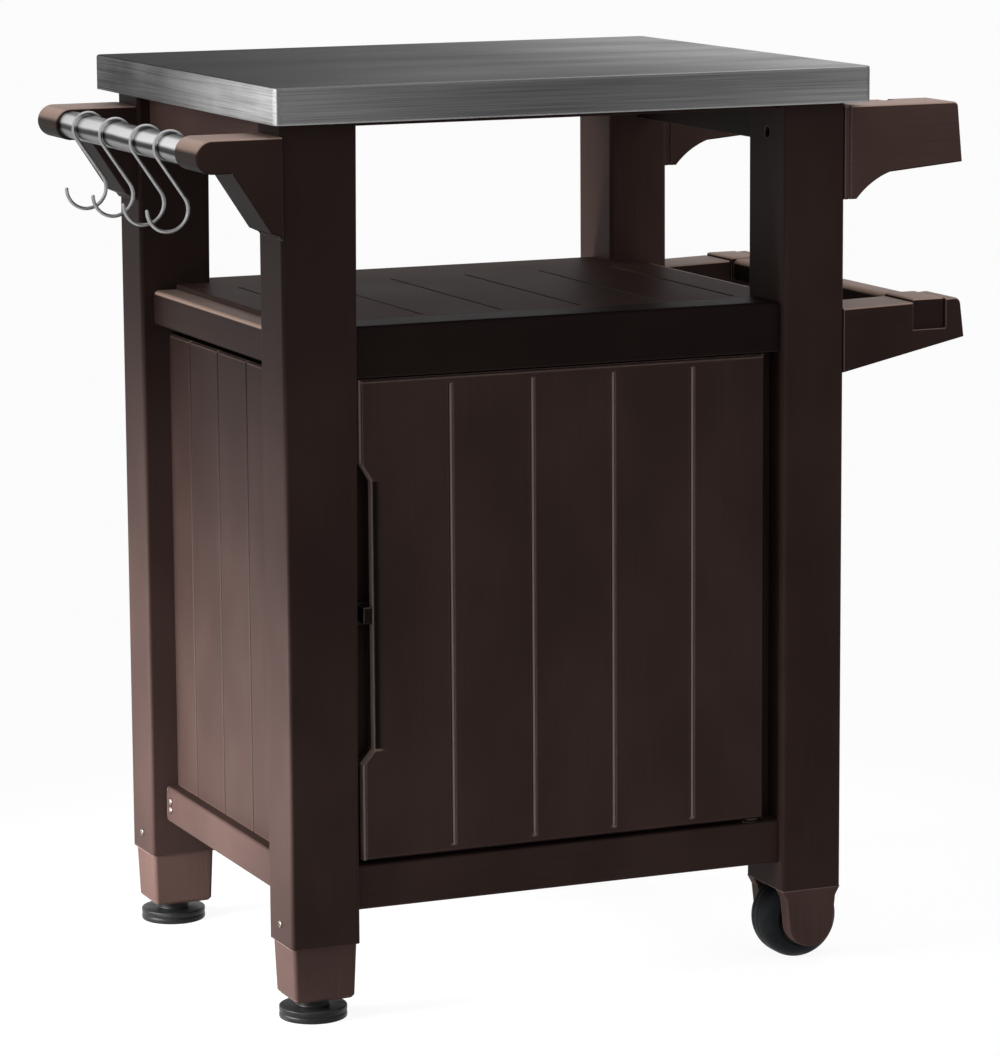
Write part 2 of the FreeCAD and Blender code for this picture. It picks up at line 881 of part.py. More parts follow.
def towel_arm():
    """Front left bracket: a boss, a level arm and a slanting brace."""
    top = rail_height + boss_radius
    low = rail_height - boss_radius
    path = [
        (post_inset_x, top),
        (rail_axis_x, top),
        ((rail_axis_x - boss_radius, rail_height), (rail_axis_x, low)),
        (rail_axis_x + towel_arm_flat, low),
        (post_inset_x - towel_arm_knee, rail_height - towel_arm_knee_drop),
        (post_inset_x - towel_arm_toe, rail_height - towel_arm_toe_drop),
        (post_inset_x, rail_height - towel_arm_foot_drop),
    ]
    arm = prism("xz", path, towel_arm_inset, arm_width)
    faces = edges_at(arm, y=towel_arm_inset) + edges_at(arm, y=towel_arm_inset + arm_width)
    outer = [edge for edge in faces if middle(edge).x < post_inset_x - same_place]
    arm = arm.makeFillet(arm_edge_radius, outer)
    socket = rod(
        rail_radius + socket_clearance, socket_depth + overcut,
        rail_axis_x, socket_start, rail_height, ALONG_Y,
    )
    x, y, z = arm_screw_place(towel_arm_screw)
    return arm.cut([socket, screw_hole(x, y, z, AGAINST_X)])


def towel_rail():
    """Steel tube between the sockets of the two brackets."""
    length = worktop_depth - 2.0 * socket_start
    tube = rod(rail_radius, length, rail_axis_x, socket_start, rail_height, ALONG_Y)
    return tube.cut(
        rod(rail_radius - rail_wall, length, rail_axis_x, socket_start, rail_height, ALONG_Y)
    )


def on_circle(centre, radius, degrees):
    """Point of a circle in the XZ plane."""
    angle = math.radians(degrees)
    return centre.add(FreeCAD.Vector(radius * math.cos(angle), 0, radius * math.sin(angle)))


def arc(centre, radius, start, end):
    """Arc of a circle in the XZ plane."""
    points = [on_circle(centre, radius, angle) for angle in (start, (start + end) / 2.0, end)]
    return Part.Arc(*points).toShape()


def hook(y):
    """S-hook: a loop over the rail, a straight stem and an open loop below."""
    top = FreeCAD.Vector(rail_axis_x, y, rail_height)
    low = FreeCAD.Vector(rail_axis_x - hook_side, y, rail_height - hook_drop)
    span = low.sub(top)
    crossing = math.acos((hook_ring_radius + hook_loop_radius) / span.Length)
    leave = math.degrees(math.atan2(span.z, span.x) - crossing) + 360.0
    arrive = leave - 180.0
    stem_top = on_circle(top, hook_ring_radius, leave)
    stem_end = on_circle(low, hook_loop_radius, arrive)
    path = Part.Wire([
        arc(top, hook_ring_radius, hook_end_angle, leave),
        Part.makeLine(stem_top, stem_end),
        arc(low, hook_loop_radius, arrive, hook_tip_angle - 360.0),
    ])
    start = on_circle(top, hook_ring_radius, hook_end_angle)
    heading = on_circle(FreeCAD.Vector(), 1.0, hook_end_angle + 90.0)
    profile = Part.Wire(Part.Circle(start, heading, wire_radius).toShape())
    return path.makePipeShell([profile], True, False)


def side_arm_screw_hole(level):
    """Screw hole in a bracket on the front right post."""
    x, y, z = arm_screw_place(level)
    return mirror_x(screw_hole(x, y, z, AGAINST_X))


def roll_arm():
    """Front right bracket below the worktop, with a slot for the bar."""
    root = post_right_outer
    top = roll_arm_top
    outer_x, outer_z = root + roll_curve_end, top - roll_curve_height
    inner_x, inner_z = root + roll_root_length, top - roll_root_height
    chord = math.hypot(outer_x - inner_x, outer_z - inner_z)
    via = (
        (inner_x + outer_x) / 2.0 - roll_curve_sag * (outer_z - inner_z) / chord,
        (inner_z + outer_z) / 2.0 + roll_curve_sag * (outer_x - inner_x) / chord,
    )
    path = [
        (root, top),
        (root + roll_arm_reach - roll_tip_lean, top),
        (root + roll_arm_reach, top - roll_tip_height),
        (outer_x, outer_z),
        (via, (inner_x, inner_z)),
        (root, inner_z),
    ]
    arm = prism("xz", path, side_arm_inset, arm_width)
    tip_x = root + roll_arm_reach - roll_tip_lean
    arm = arm.makeFillet(roll_tip_radius, edges_at(arm, x=tip_x, z=top))
    faces = edges_at(arm, y=side_arm_inset) + edges_at(arm, y=side_arm_inner)
    outer = [edge for edge in faces if middle(edge).x > root + same_place]
    arm = arm.makeFillet(arm_edge_radius, outer)
    groove_x = root + roll_flange
    shell = block(
        groove_x, groove_x + roll_flange_groove,
        side_arm_inset - overcut, side_arm_inner + overcut, inner_z - overcut, top + overcut,
    )
    kept = block(
        groove_x, groove_x + roll_flange_groove,
        side_arm_inset + roll_groove_depth, side_arm_inner - roll_groove_depth,
        inner_z + roll_groove_depth, top - roll_groove_depth,
    )
    radius = roll_journal_radius + roll_slot_clearance
    slot_y = side_arm_inner - roll_slot_depth
    seat = rod(radius, roll_slot_depth + overcut, roll_axis_x, slot_y, roll_axis_z, ALONG_Y)
    mouth = block(
        roll_axis_x - radius, roll_axis_x + radius, slot_y, side_arm_inner + overcut,
        roll_axis_z, top + overcut,
    )
    return arm.cut([shell.cut(kept), seat, mouth, side_arm_screw_hole(roll_arm_screw)])


def roll_bar():
    """Bar with a thinner journal at each end, in the slots of the brackets."""
    y0 = side_arm_inner + roll_side_play
    length = worktop_depth - 2.0 * y0
    bar = rod(roll_bar_radius, length, roll_axis_x, y0, roll_axis_z, ALONG_Y)
    bar = bar.makeChamfer(pin_end_chamfer, edges_at(bar, y=y0) + edges_at(bar, y=y0 + length))
    y1 = side_arm_inner - roll_journal_length
    reach = worktop_depth - 2.0 * y1
    return bar.fuse(rod(roll_journal_radius, reach, roll_axis_x, y1, roll_axis_z, ALONG_Y))


def bag_arm():
    """Front right wedge-shaped bracket at shelf height, with its notch."""
    root = post_right_outer
    tip_x = root + bag_arm_reach - bag_tip_lean
    path = [
        (root, bag_arm_root_top),
        (root + bag_arm_peak, bag_arm_peak_top),
        (tip_x, bag_arm_tip_top),
        (root + bag_arm_reach, bag_arm_tip_bottom),
        (root, bag_arm_bottom),
    ]
    arm = prism("xz", path, side_arm_inset, arm_width)
    arm = arm.makeFillet(bag_tip_radius, edges_at(arm, x=tip_x, z=bag_arm_tip_top))
    faces = edges_at(arm, y=side_arm_inset) + edges_at(arm, y=side_arm_inner)
    outer = [edge for edge in faces if middle(edge).x > root + same_place]
    arm = arm.makeFillet(arm_edge_radius, outer)
    notch = block(
        notch_left, notch_left + notch_width, side_arm_inset - overcut, side_arm_inner + overcut,
        notch_bottom, bag_arm_tip_top + overcut,
    )
    return arm.cut([notch, side_arm_screw_hole(bag_arm_screw)])


def bag_bar():
    """Cross bar with a block at each end that drops into a notch."""
    half_block = notch_width / 2.0 - bag_block_gap
    end_block = block(
        bag_middle_x - half_block, bag_middle_x + half_block,
        side_arm_inset + bag_block_setback, side_arm_inner,
        notch_bottom + bag_seat_gap, bag_block_top,
    )
    end_block = end_block.makeFillet(bag_block_radius, edges_at(end_block, z=bag_block_top))
    top = bag_block_top - bag_bar_drop
    half_bar = bag_bar_width / 2.0
    bar = block(
        bag_middle_x - half_bar, bag_middle_x + half_bar,
        side_arm_inner, worktop_depth - side_arm_inner, top - bag_bar_height, top,
    )
    long_edges = edges_at(bar, x=bag_middle_x - half_bar, z=top)
    long_edges += edges_at(bar, x=bag_middle_x + half_bar, z=top)
    bar = bar.makeFillet(bag_bar_radius, long_edges)
    return end_block.fuse([bar, mirror_y(end_block)])


def spigot(size, height):
    """Plug that fills the hollow foot of a post."""
    inset = post_wall + spigot_gap
    return rounded_slab(
        size.outer + inset, size.inner - inset, size.front + inset, size.back - inset,
        size.bottom, size.bottom + height, spigot_edge_radius,
    )


def foot_block():
    """Tapered block under the front left post, with a threaded bore."""
    sections = []
    for z, inset in ((foot_block_bottom, foot_bottom_inset), (left_post_bottom, foot_top_inset)):
        sections.append(rounded_outline(
            post_inset_x + inset, post_left_inner - inset,
            post_inset_y + inset, post_front_inner - inset, z, post_edge_radius,
        ))
    shape = Part.makeLoft(sections, True, True)
    shape = shape.makeChamfer(foot_chamfer, edges_at(shape, z=foot_block_bottom))
    shape = shape.fuse(spigot(corner_post, foot_spigot_height))
    bore_top = stud_bottom + stud_length + stud_end_gap
    bore = rod(
        stud_radius + thread_clearance, bore_top - foot_block_bottom + overcut,
        foot_middle_x, post_middle_y, foot_block_bottom - overcut, UP,
    )
    return shape.cut([bore, screw_hole(*foot_screw_place(corner_post), ALONG_X)])


def turned(profile, x, y):
    """Solid of revolution about an upright axis."""
    points = [FreeCAD.Vector(x + r, y, z) for r, z in profile]
    face = Part.Face(Part.makePolygon(points + [points[0]]))
    return face.revolve(FreeCAD.Vector(x, y, 0), UP, 360)


def foot_disc():
    """Levelling disc with a groove round its edge and a neck."""
    neck_top = foot_block_bottom - disc_neck_gap
    middle_z = disc_height / 2.0
    profile = [
        (0.0, 0.0),
        (disc_radius - disc_edge, 0.0),
        (disc_radius, disc_edge),
        (disc_radius, middle_z - disc_groove),
        (disc_radius - disc_groove, middle_z),
        (disc_radius, middle_z + disc_groove),
        (disc_radius, disc_height - disc_edge),
        (disc_radius - disc_edge, disc_height),
        (disc_neck_radius, disc_height),
        (disc_neck_radius, neck_top),
        (0.0, neck_top),
    ]
    disc = turned(profile, foot_middle_x, post_middle_y)
    return disc.cut(rod(stud_radius, neck_top, foot_middle_x, post_middle_y, stud_bottom, UP))


def foot_stud():
    """Threaded stud, set in the disc and running up into the block."""
    stud = rod(stud_radius, stud_length, foot_middle_x, post_middle_y, stud_bottom, UP)
    return stud.makeChamfer(pin_end_chamfer, edges_at(stud, z=stud_bottom + stud_length))


def wheel_fork(size):
    """Fork under a post: two round-ended cheeks and a plug in its hollow."""
    middle_x = size.middle_x
    neck = fork_neck_width / 2.0
    shoulder_z = size.bottom - fork_shoulder
    path = [
        (size.outer, size.bottom),
        (middle_x - neck, shoulder_z),
        (middle_x - fork_round_radius, wheel_radius),
        ((middle_x, wheel_radius - fork_round_radius), (middle_x + fork_round_radius, wheel_radius)),
        (middle_x + neck, shoulder_z),
        (size.inner, size.bottom),
    ]
    fork = prism("xz", path, size.front, size.back - size.front)
    faces = edges_at(fork, y=size.front) + edges_at(fork, y=size.back)
    outer = [edge for edge in faces if middle(edge).z < size.bottom - same_place]
    fork = fork.makeFillet(arm_edge_radius, outer)
    fork = fork.fuse(spigot(size, fork_spigot_height))
    slot = block(
        size.outer - overcut, size.inner + overcut,
        size.middle_y - wheel_slot_half, size.middle_y + wheel_slot_half,
        0.0, 2.0 * wheel_radius + fork_slot_gap,
    )
    return fork.cut([slot, wheel_axle(size), screw_hole(*foot_screw_place(size), ALONG_X)])


def wheel_axle(size):
    """Plain pin across the fork, from a blind seat to the inner cheek's face."""
    y0 = size.middle_y - wheel_slot_half - axle_seat
    return rod(axle_radius, size.back - y0, size.middle_x, y0, wheel_radius, ALONG_Y)


def wheel_disc(size, radius, width):
    """Cylinder about the wheel's axle, centred on the wheel."""
    y0 = size.middle_y - width / 2.0
    return rod(radius, width, size.middle_x, y0, wheel_radius, ALONG_Y)


def wheel_tyre(size):
    """Tread ring with large round shoulders."""
    ring = wheel_disc(size, wheel_radius, wheel_width)
    half = wheel_width / 2.0
    rims = edges_at(ring, y=size.middle_y - half) + edges_at(ring, y=size.middle_y + half)
    return ring.makeFillet(wheel_shoulder, rims).cut(
        wheel_disc(size, hub_radius + hub_fit, wheel_width)
    )


def wheel_hub(size):
    """Hub with a rim, a web and a boss that runs on the axle."""
    width = wheel_width - 2.0 * hub_recess
    bowl = hub_radius - hub_rim
    rim = wheel_disc(size, hub_radius, width).cut(wheel_disc(size, bowl, width))
    boss_length = 2.0 * (wheel_slot_half - hub_boss_play)
    boss = wheel_disc(size, hub_boss_radius, boss_length)
    hub = rim.fuse([wheel_disc(size, bowl, hub_web), boss])
    return hub.cut(wheel_disc(size, axle_radius + axle_clearance, boss_length))


def post_screws(size, arm_levels):
    """Screws at a post: rail end, foot and brackets."""
    screws = [screw(*place, ALONG_X) for place in rail_screw_places(size)]
    screws.append(screw(*foot_screw_place(size), ALONG_X))
    return screws + [screw(*arm_screw_place(level), AGAINST_X) for level in arm_levels]


def save_pair_x(name, left, right):
    """Left piece and a right piece drawn on the left, fitted between the posts."""
    save(name + "_left", between_posts(left))
    save(name + "_right", between_posts(mirror_x(right)))


def save_pair_y(name, shape):
    """Front piece and its mirror image at the back."""
    save(name + "_front", shape)
    save(name + "_rear", mirror_y(shape))


def save_wheel_pair(name, draw):
    """Pieces drawn for each wheel's post, put on the right."""
    save(name + "_front", mirror_x(draw(wheel_post_front)))
    save(name + "_rear", mirror_y(mirror_x(draw(wheel_post_rear))))


os.makedirs("parts", exist_ok=True)

corner_post = PostSize(post_width, post_depth, post_inset_y, post_flare, left_post_bottom)
wheel_post_front = PostSize(
    right_post_width, right_post_depth, post_inset_y, 0.0, right_post_bottom
)
wheel_post_rear = PostSize(
    right_post_width, right_post_depth, rear_right_inset_y, 0.0, right_post_bottom
)
left_column = rounded_column(corner_post)
post_shapes = [
    left_column,
    mirror_y(left_column),
    mirror_x(rounded_column(wheel_post_front)),
    mirror_y(mirror_x(rounded_column(wheel_post_rear))),
]

save("worktop_skin", worktop_skin())
save("worktop_core", worktop_core())

left_levels = [towel_arm_screw]
right_levels = [roll_arm_screw, bag_arm_screw]
left_post = post(corner_post, left_levels)
right_front = [mirror_x(shape) for shape in post(wheel_post_front, right_levels)]
right_rear = [mirror_x(shape) for shape in post(wheel_post_rear, right_levels)]
save("post_front_left", *left_post)
save("post_rear_left", *[mirror_y(shape) for shape in left_post])
save("post_front_right", *right_front)
save("post_rear_right", *[mirror_y(shape) for shape in right_rear])

side_rail = top_rail_left()
save_pair_x("top_rail", side_rail, side_rail)
front_rail_y = post_inset_y + top_front_inset
rear_rail_y = worktop_depth - front_rail_y - top_rail_width
save("top_rail_front", top_rail(front_rail_y, skirt_bottom - top_front_drop))
save("top_rail_rear", top_rail(rear_rail_y, skirt_bottom - top_rear_drop))

save("deck_rail_front", deck_rail_front())
save("deck_rail_rear", deck_rail_rear())
side_rail = deck_rail_left()
save_pair_x("deck_rail", side_rail, side_rail)
save("deck_board", deck_board())

lower_rail = bottom_rail_front()
save("bottom_rail_front", between_posts(lower_rail).cut(door_pin_bore(bottom_rail_top)))
save("bottom_rail_rear", between_posts(mirror_y(lower_rail)))
save_pair_x(
    "bottom_rail",
    bottom_side_rail(corner_post, corner_post),
    bottom_side_rail(wheel_post_front, wheel_post_rear),
)

panel = side_panel_left()
save_pair_x("side_panel", panel, panel)
save("back_panel", back_panel())
save("floor_panel", floor_panel())
save("inner_shelf", inner_shelf())
batten = shelf_batten()
save("shelf_battens", between_posts(batten), between_posts(mirror_x(batten)))
stile = front_stile()
save_pair_x("front_stile", stile, stile)
save("catch_keeper", catch_keeper())

save("door_panel", door_panel())
save("door_liner", door_liner())
save("door_pins", door_pin_lower(), door_pin_upper())
save("door_catch", door_catch())

save_pair_y("towel_arm", towel_arm())
save("towel_rail", towel_rail())
hook_places = (hook_1_place, hook_2_place, hook_3_place, hook_4_place)
for number, place in enumerate(hook_places, 1):
    save("hook_" + str(number), hook(place))

save_pair_y("roll_arm", roll_arm())
save("roll_bar", roll_bar())
save_pair_y("bag_arm", bag_arm())
save("bag_bar", bag_bar())

save_pair_y("foot_block", foot_block())
save_pair_y("foot_disc", foot_disc())
save_pair_y("foot_stud", foot_stud())
save_wheel_pair("wheel_fork", wheel_fork)
save_wheel_pair("wheel_tyre", wheel_tyre)
save_wheel_pair("wheel_hub", wheel_hub)
save(
    "wheel_axles",
    mirror_x(wheel_axle(wheel_post_front)),
    mirror_y(mirror_x(wheel_axle(wheel_post_rear))),
)

left_screws = post_screws(corner_post, left_levels)
front_screws = left_screws + [mirror_x(s) for s in post_screws(wheel_post_front, right_levels)]
rear_screws = left_screws + [mirror_x(s) for s in post_screws(wheel_post_rear, right_levels)]
save("screws", *front_screws, *[mirror_y(s) for s in rear_screws])
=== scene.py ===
import math
import bpy
import numpy as np
from mathutils import Matrix, Vector


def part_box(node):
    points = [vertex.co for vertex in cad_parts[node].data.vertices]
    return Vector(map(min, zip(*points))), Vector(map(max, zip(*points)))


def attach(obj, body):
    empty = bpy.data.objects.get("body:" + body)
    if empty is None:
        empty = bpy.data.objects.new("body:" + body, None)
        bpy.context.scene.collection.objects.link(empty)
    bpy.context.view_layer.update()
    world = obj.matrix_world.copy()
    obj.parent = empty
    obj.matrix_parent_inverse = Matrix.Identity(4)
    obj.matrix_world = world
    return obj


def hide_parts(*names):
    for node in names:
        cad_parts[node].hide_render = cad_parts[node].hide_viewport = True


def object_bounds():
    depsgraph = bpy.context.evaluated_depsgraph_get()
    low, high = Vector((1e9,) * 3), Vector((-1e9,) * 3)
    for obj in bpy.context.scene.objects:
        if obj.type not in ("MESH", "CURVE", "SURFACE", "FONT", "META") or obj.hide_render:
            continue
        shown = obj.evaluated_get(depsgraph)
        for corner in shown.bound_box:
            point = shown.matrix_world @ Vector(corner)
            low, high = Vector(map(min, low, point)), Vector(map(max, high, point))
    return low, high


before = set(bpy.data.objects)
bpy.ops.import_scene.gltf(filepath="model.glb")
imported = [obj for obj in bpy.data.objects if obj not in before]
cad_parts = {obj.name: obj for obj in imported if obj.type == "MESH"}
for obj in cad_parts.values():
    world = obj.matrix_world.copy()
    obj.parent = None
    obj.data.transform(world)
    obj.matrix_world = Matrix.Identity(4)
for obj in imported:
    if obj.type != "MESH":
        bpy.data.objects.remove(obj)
cad_low, cad_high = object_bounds()

# Lengths are in metres. X runs along the front, Y to the back, Z up.

# Hooks and rail, the last two in degrees
wire_radius = 0.0018
rail_radius = 0.0135
hook_play = 0.0003
hook_loop = 0.0205
hook_drop = 0.059
hook_side = 0.0035
hook_tip = 176.0
hook_end = -8.0

# Screws
head_radius = 0.004
head_height = 0.0018
shank_radius = 0.0018
shank_length = 0.016
rail_screw_margin = 0.012
rail_screw_spacing = 0.009
foot_screw_rise = 0.0195
arm_screw_inset = 0.068
towel_screw_drop = 0.0025
bag_screw_rise = 0.030
post_wall = 0.004

# Crossed recess of a screw, in shares of the head's radius and height
recess_reach = 0.62
recess_half_width = 0.17
recess_depth = 0.42
recess_sharpness = 14.0
rim_height = 0.35

# Levelling discs
disc_neck = 0.016
disc_rim = 0.012
disc_groove = 0.0012
disc_rounding = 0.0016

# Tyres
tyre_bore = 0.0271
tyre_shoulder = 0.018
half_tread = 0.006
tread_line = 0.0045
tread_cut = 0.0007

# Depth under a panel's face at which the colour painted in its seams starts, is full, fades and
# ends
seam_start = 0.0004
seam_full = 0.0016
seam_fade = 0.0100
seam_end = 0.0115

# Resin colours, linear. The low and high tone are made lighter or darker by finish, to paint the
# light or shade that falls on each piece.
resin_low = (0.034, 0.0200, 0.0174)
resin_high = (0.048, 0.0290, 0.0252)
# Painted shade in the seams of the grooved panels
groove_shade = (0.0060, 0.0042, 0.0038, 1.0)
# Painted highlight in the shelf's seams
shelf_groove_highlight = (0.120, 0.082, 0.072, 1.0)
# Painted highlight on groove walls that look left, towards the lamps
lit_groove_wall = (0.600, 0.460, 0.410, 1.0)
# Painted shade under things, painted light on tops and painted highlight on slopes that look up
underside_shade = (0.006, 0.004, 0.0035, 1.0)
lit_top = (0.620, 0.450, 0.390, 1.0)
slope_highlight = (0.800, 0.560, 0.460, 1.0)
# Painted highlights on edges: a faint one on every edge and a bright one on edges that look left or
# up
faint_edge_highlight = (0.160, 0.105, 0.090, 1.0)
edge_highlight_colour = (0.560, 0.400, 0.350, 1.0)

# Floor and world: white where they are seen, share of real paint near the
# cart, its lit level, radii between which the paint fades, and the soft light
white_level = 0.97
floor_share = 0.22
floor_lit = 0.24
floor_near = 0.35
floor_far = 1.1
floor_reach = 60.0
world_level = 0.30

# Camera, as it stood for the picture
camera_place = (-1.76681, -4.14733, 1.20452)
camera_turn = -23.14
camera_pitch = 9.81
camera_roll = -0.38
camera_lens = 153.5


# Node arithmetic


class Flow:
    """A value or colour that runs through a material's nodes."""

    def __init__(self, tree, socket):
        self.tree = tree
        self.socket = socket

    def node(self, kind, settings, inputs, output=0):
        """New node: its settings first, then its sockets. Gives one output."""
        made = self.tree.nodes.new(kind)
        for name, value in settings.items():
            if name == "stops":
                stops = made.color_ramp.elements
                while len(stops) < len(value):
                    stops.new(1.0)
                for stop, (place, colour) in zip(stops, value):
                    stop.position = place
                    stop.color = colour
            else:
                setattr(made, name, value)
        for name, value in inputs.items():
            if isinstance(value, Flow):
                self.tree.links.new(value.socket, made.inputs[name])
            else:
                made.inputs[name].default_value = value
        return Flow(self.tree, made.outputs[output])

    def sum(self, operation, first, second):
        """One Math node on two numbers or flows."""
        return self.node("ShaderNodeMath", {"operation": operation}, {0: first, 1: second})

    def __add__(self, other):
        return self.sum("ADD", self, other)

    __radd__ = __add__

    def __sub__(self, other):
        return self.sum("SUBTRACT", self, other)

    def __rsub__(self, other):
        return self.sum("SUBTRACT", other, self)

    def __mul__(self, other):
        return self.sum("MULTIPLY", self, other)

    __rmul__ = __mul__

    def part(self, axis):
        """X, Y or Z of a place or direction, as a number."""
        return self.node("ShaderNodeSeparateXYZ", {}, {"Vector": self}, "XYZ".index(axis))

    def larger(self, other):
        """The larger of two numbers."""
        return self.sum("MAXIMUM", self, other)

    def between(self, low, high):
        """0 below low, 1 above high, smooth between."""
        return self.node(
            "ShaderNodeMapRange",
            {"interpolation_type": "SMOOTHSTEP"},
            {"Value": self, "From Min": low, "From Max": high},
        )

    def blend(self, first, second):
        """Colour mix: first where this flow is 0, second where it is 1."""
        return self.node(
            "ShaderNodeMix", {"data_type": "RGBA"}, {0: self, 6: first, 7: second}, 2
        )

    def noise(self, size, detail=2.0):
        """Noise that varies over lengths given along X, Y and Z, in metres."""
        scale = tuple(1.0 / length for length in size)
        spread = self.node("ShaderNodeMapping", {}, {"Vector": self, "Scale": scale})
        return self.node(
            "ShaderNodeTexNoise", {}, {"Vector": spread, "Scale": 1.0, "Detail": detail}
        )


def grey(value):
    """Neutral colour of one strength."""
    return (value, value, value, 1.0)


def start_material(name):
    """New material, its shader node and the piece's own coordinates."""
    material = bpy.data.materials.new(name)
    material.use_nodes = True
    tree = material.node_tree
    shader = tree.nodes["Principled BSDF"]
    here = Flow(tree, tree.nodes.new("ShaderNodeTexCoord").outputs["Object"])
    return material, shader, here


def facing(here):
    """Direction that a face looks in."""
    return Flow(here.tree, here.tree.nodes.new("ShaderNodeNewGeometry").outputs["Normal"])


def edge_mask(here, width):
    """1 on the edges of a piece and 0 on its flats, and where the edge looks."""
    soft = here.node("ShaderNodeBevel", {"samples": 4}, {"Radius": width})
    true = facing(here)
    match = here.node("ShaderNodeVectorMath", {"operation": "DOT_PRODUCT"}, {0: soft, 1: true}, 1)
    return (1.0 - match).between(0.01, 0.16), soft


def dress(shader, colour, rough, height, depth, edge_width, metal=0.0, specular=0.5):
    """Joins the worked-out colour, roughness and relief to a shader.

    The relief is the height's pattern to a depth, over edges of a width.
    """
    soft = colour.node("ShaderNodeBevel", {"samples": 4}, {"Radius": edge_width})
    relief = colour.node(
        "ShaderNodeBump", {}, {"Height": height, "Distance": depth, "Strength": 1.0, "Normal": soft}
    )
    links = colour.tree.links
    links.new(colour.socket, shader.inputs["Base Color"])
    links.new(rough.socket, shader.inputs["Roughness"])
    links.new(relief.socket, shader.inputs["Normal"])
    shader.inputs["Metallic"].default_value = metal
    shader.inputs["Specular IOR Level"].default_value = specular


# Finishes


def resin(name, grain, light=1.0, inset=None, top_lighting=0.0, specular=0.035, edge=0.0018, edge_highlight_strength=0.65):
    """Dark brown moulded resin: faint grain, cloudy tone, painted highlights on edges.

    The light scales the tone, to paint the light or shade that falls on the
    piece: finishes with other lights are lit and shaded copies of one resin.
    The inset of a grooved panel gives the axis it faces along, its face, the
    sign that points into the panel and the colour painted in its seams:
    painted shade, or on the shelf a painted highlight. On a face along Y the
    groove walls that look left, towards the lamps, get a painted highlight,
    and on one along X the seams' edges get the seams' painted shade.
    The top lighting is how far faces and slopes that look up get painted light
    and painted highlights, with painted shade on undersides. The edge is the
    width of the painted highlight on edges, which is brightest where they look
    left or up, and the last setting is its strength.
    """
    material, shader, here = start_material(name)
    lines = here.noise(grain, 3.0)
    cloud = here.noise((0.11, 0.11, 0.17))
    pebble = here.noise((0.0007, 0.0007, 0.0007))
    # Painted highlight on the edges, brightest on those that look left, towards the lamps, or up
    on_edge, outward = edge_mask(here, edge)
    top_edge = outward.part("Z").between(0.2, 0.6)
    left_edge = (0.0 - outward.part("X")).between(0.2, 0.6)
    edge_highlight_mask = on_edge * left_edge.larger(top_edge)
    tone = (lines * 0.30 + cloud * 0.70).between(0.34, 0.68)
    low_tone = [light * value for value in resin_low] + [1.0]
    high_tone = [light * value for value in resin_high] + [1.0]
    body = tone.blend(low_tone, high_tone)
    if inset:
        axis, face, sign, under = inset
        depth = (here.part(axis) - face) * sign
        # Painted shade in the seams, and on a face along X on the seams' edges too
        seam = depth.between(seam_start, seam_full) * (1.0 - depth.between(seam_fade, seam_end))
        if axis == "X":
            seam = seam.larger(on_edge)
            edge_highlight_mask = on_edge * top_edge
        body = seam.blend(body, under)
        if axis == "Y":
            # Painted highlight on the groove walls that look left
            lit_wall = (0.0 - facing(here).part("X")).between(0.4, 0.8)
            body = (seam * lit_wall * 0.90).blend(body, lit_groove_wall)
    if top_lighting:
        # Painted shade on faces that look down, painted light on faces that look up, painted
        # highlight on the slopes between
        rise = facing(here).part("Z")
        shade = (0.0 - rise).between(0.15, 0.5)
        body = (shade * 0.75).blend(body, underside_shade)
        upward = rise.between(0.25, 0.75)
        body = (upward * top_lighting * (0.6 + cloud * 0.8)).blend(body, lit_top)
        slope = rise.between(0.12, 0.45) * (1.0 - rise.between(0.86, 0.985))
        body = (slope * top_lighting).blend(body, slope_highlight)
    # Faint painted highlight on every edge, then the bright one
    edge_lit_body = (on_edge * 0.35).blend(body, faint_edge_highlight)
    colour = (edge_highlight_mask * edge_highlight_strength).blend(edge_lit_body, edge_highlight_colour)
    rough = 0.42 + cloud * 0.14 - on_edge * 0.08
    height = lines * 0.4 + pebble * 0.5
    dress(shader, colour, rough, height, depth=0.00012, edge_width=0.0014, specular=specular)
    return material


